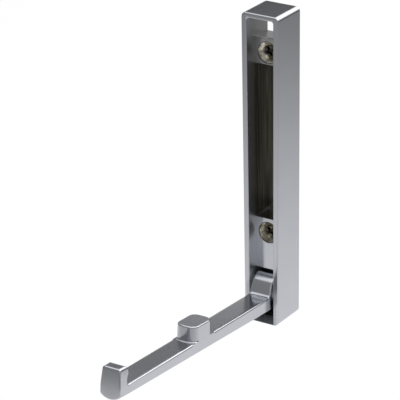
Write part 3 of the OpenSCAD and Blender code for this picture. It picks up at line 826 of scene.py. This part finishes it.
# Camera, fitted to measured points of the photograph: degrees, metres and pixels
AZIMUTH, ELEVATION, ROLL = 31.735, 23.422, -0.417
CAMERA_PLACE = (0.43744, -0.72529, 0.3371)
PHOTO_SIZE, FOCAL_LENGTH, AIM_X, AIM_Y = 400, 2501.26, 256.69, 210.38
SENSOR_WIDTH = 36                       # millimetres


def plane(name, centre, right, up, material):
    """A flat rectangle for the studio: right and up reach from its centre to its edges."""
    shape = bmesh.new()
    bmesh.ops.create_grid(shape, x_segments=1, y_segments=1, size=1)
    centre, right, up = Vector(centre), Vector(right), Vector(up)
    for vert in shape.verts:
        vert.co = centre + right * vert.co.x + up * vert.co.y
    made = into_scene(shape, name, material)
    return made


def seen(tree, rays, plain, shown, share=1.0):
    """Mixes a plain shader with a share of another one, which only some kinds of ray see."""
    path = add(tree, "ShaderNodeLightPath").outputs
    part = path[rays[0]]
    for kind in rays[1:]:
        part = add(tree, "ShaderNodeMath", {"operation": "MAXIMUM"},
                   links={0: part, 1: path[kind]}).outputs[0]
    part = add(tree, "ShaderNodeMath", {"operation": "MULTIPLY"}, {1: share},
               {0: part}).outputs[0]
    return add(tree, "ShaderNodeMixShader", links={0: part, 1: plain, 2: shown}).outputs["Shader"]


def floor_material():
    """Matt white paper. Its diffuse part keeps the object's soft shadow. Metal mirrors it as a
    painted pool of light round the object, a glow that only glossy rays see, which falls off to
    the dim far studio."""
    material, tree = new_material("studio_paper")
    paper = add(tree, "ShaderNodeBsdfDiffuse", None, {"Color": linear("#FAFAFA")}).outputs["BSDF"]
    place = add(tree, "ShaderNodeTexCoord").outputs["Object"]
    axes = add(tree, "ShaderNodeSeparateXYZ", links={"Vector": place}).outputs
    ahead = add(tree, "ShaderNodeMath", {"operation": "MULTIPLY"}, {1: -FRONT_SHARE},
                {0: axes["Y"]}).outputs[0]
    along = add(tree, "ShaderNodeMath", {"operation": "MAXIMUM"},
                links={0: axes["Y"], 1: ahead}).outputs[0]
    flat = add(tree, "ShaderNodeCombineXYZ", links={"X": axes["X"], "Y": along}).outputs["Vector"]
    reach = add(tree, "ShaderNodeVectorMath", {"operation": "LENGTH"},
                links={0: flat}).outputs["Value"]
    # Painted pool of light: bright near the object, dim further out
    pool = add(tree, "ShaderNodeMapRange", {"interpolation_type": "SMOOTHSTEP"},
               {"From Min": 0.15, "From Max": 0.7, "To Min": 0.92, "To Max": 0.28},
               {"Value": reach}).outputs["Result"]
    painted_pool = add(tree, "ShaderNodeEmission", links={"Strength": pool}).outputs["Emission"]
    white = add(tree, "ShaderNodeEmission", None, PLAIN_WHITE).outputs["Emission"]
    shown = seen(tree, ["Is Camera Ray", "Is Transmission Ray"], paper, white, WHITE_SHARE)
    both = seen(tree, ["Is Glossy Ray"], shown, painted_pool)
    add(tree, "ShaderNodeOutputMaterial", links={"Surface": both})
    return material


def glowing_card_material():
    """Glowing grey card, which only metal mirrors: painted light, bright at its foot and fading
    out upwards.
    """
    material, tree = new_material("glowing_grey_card")
    place = add(tree, "ShaderNodeTexCoord").outputs["Object"]
    height = add(tree, "ShaderNodeSeparateXYZ", links={"Vector": place}).outputs["Z"]
    glow = add(tree, "ShaderNodeMapRange", {"interpolation_type": "SMOOTHSTEP"},
               {"From Min": 0.11, "From Max": 0.17, "To Min": 0.52, "To Max": 0.04},
               {"Value": height}).outputs["Result"]
    shown = add(tree, "ShaderNodeEmission", links={"Strength": glow}).outputs["Emission"]
    add(tree, "ShaderNodeOutputMaterial", links={"Surface": shown})
    return material


def build_world():
    """A soft even room. Metal mirrors it dim: brighter to the right than to the left in front,
    and behind with a dark band that brightens upwards."""
    world = bpy.data.worlds.new("studio_world")
    bpy.context.scene.world = world
    world.use_nodes = True
    tree = world.node_tree
    tree.nodes.clear()
    soft = add(tree, "ShaderNodeBackground", None,
               {"Color": (1, 1, 1, 1), "Strength": ROOM_STRENGTH}).outputs["Background"]
    white = add(tree, "ShaderNodeBackground", None, PLAIN_WHITE).outputs["Background"]
    way = add(tree, "ShaderNodeTexCoord").outputs["Generated"]
    axes = add(tree, "ShaderNodeSeparateXYZ", links={"Vector": way}).outputs
    rising = add(tree, "ShaderNodeMapRange", {"interpolation_type": "SMOOTHSTEP"},
                 {"From Min": 0.33, "From Max": 0.5, "To Min": 0.03, "To Max": 0.8},
                 {"Value": axes["Z"]}).outputs["Result"]
    behind = add(tree, "ShaderNodeMapRange", {"interpolation_type": "SMOOTHSTEP"},
                 {"From Min": 0.0, "From Max": 0.4}, {"Value": axes["Y"]}).outputs["Result"]
    front = add(tree, "ShaderNodeMapRange", {"interpolation_type": "SMOOTHSTEP"},
                {"From Min": -0.35, "From Max": -0.05, "To Min": 0.28, "To Max": 0.45},
                {"Value": axes["X"]}).outputs["Result"]
    level = add(tree, "ShaderNodeMix",
                links={"Factor": behind, "A": front, "B": rising}).outputs["Result"]
    dim = add(tree, "ShaderNodeBackground", None, {"Color": (1, 1, 1, 1)},
              {"Strength": level}).outputs["Background"]
    shown = seen(tree, ["Is Camera Ray", "Is Transmission Ray"], soft, white)
    both = seen(tree, ["Is Glossy Ray"], shown, dim)
    add(tree, "ShaderNodeOutputWorld", links={"Surface": both})


def softbox(name, place, target, width, height, power):
    """A rectangular area lamp that faces a point."""
    lamp = bpy.data.lights.new(name, "AREA")
    lamp.shape = "RECTANGLE"
    lamp.size, lamp.size_y, lamp.energy = width, height, power
    made = bpy.data.objects.new(name, lamp)
    bpy.context.scene.collection.objects.link(made)
    made.location = place
    made.rotation_euler = (Vector(place) - Vector(target)).to_track_quat("Z", "Y").to_euler()


def add_camera():
    """The camera of the photograph: its place, its turn and its long lens."""
    azimuth, elevation, roll = map(math.radians, (AZIMUTH, ELEVATION, ROLL))
    back = Vector((math.sin(azimuth) * math.cos(elevation),
                   -math.cos(azimuth) * math.cos(elevation), math.sin(elevation)))
    level = Vector((math.cos(azimuth), math.sin(azimuth), 0))
    upward = back.cross(level)
    right = level * math.cos(roll) + upward * math.sin(roll)
    top = -level * math.sin(roll) + upward * math.cos(roll)
    lens = bpy.data.cameras.new("camera")
    camera = bpy.data.objects.new("camera", lens)
    bpy.context.scene.collection.objects.link(camera)
    turn = Matrix((right, top, back)).transposed()
    camera.matrix_world = Matrix.Translation(CAMERA_PLACE) @ turn.to_4x4()
    lens.sensor_width = SENSOR_WIDTH
    lens.lens = FOCAL_LENGTH / PHOTO_SIZE * SENSOR_WIDTH
    lens.shift_x = (PHOTO_SIZE / 2 - AIM_X) / PHOTO_SIZE
    lens.shift_y = (AIM_Y - PHOTO_SIZE / 2) / PHOTO_SIZE
    lens.clip_start, lens.clip_end = 0.01, 20
    bpy.context.scene.camera = camera


build_world()
plane("floor", (0, 0, FLOOR_HEIGHT), (FLOOR_REACH, 0, 0), (0, FLOOR_REACH, 0), floor_material())
for name, settings in SOFTBOXES.items():
    softbox(name, *settings)
card = plane("rear_glowing_card", CARD_PLACE, CARD_RIGHT, CARD_UP, glowing_card_material())
card.visible_camera = card.visible_diffuse = card.visible_shadow = False
add_camera()
bpy.context.scene.view_settings.view_transform = "Standard"
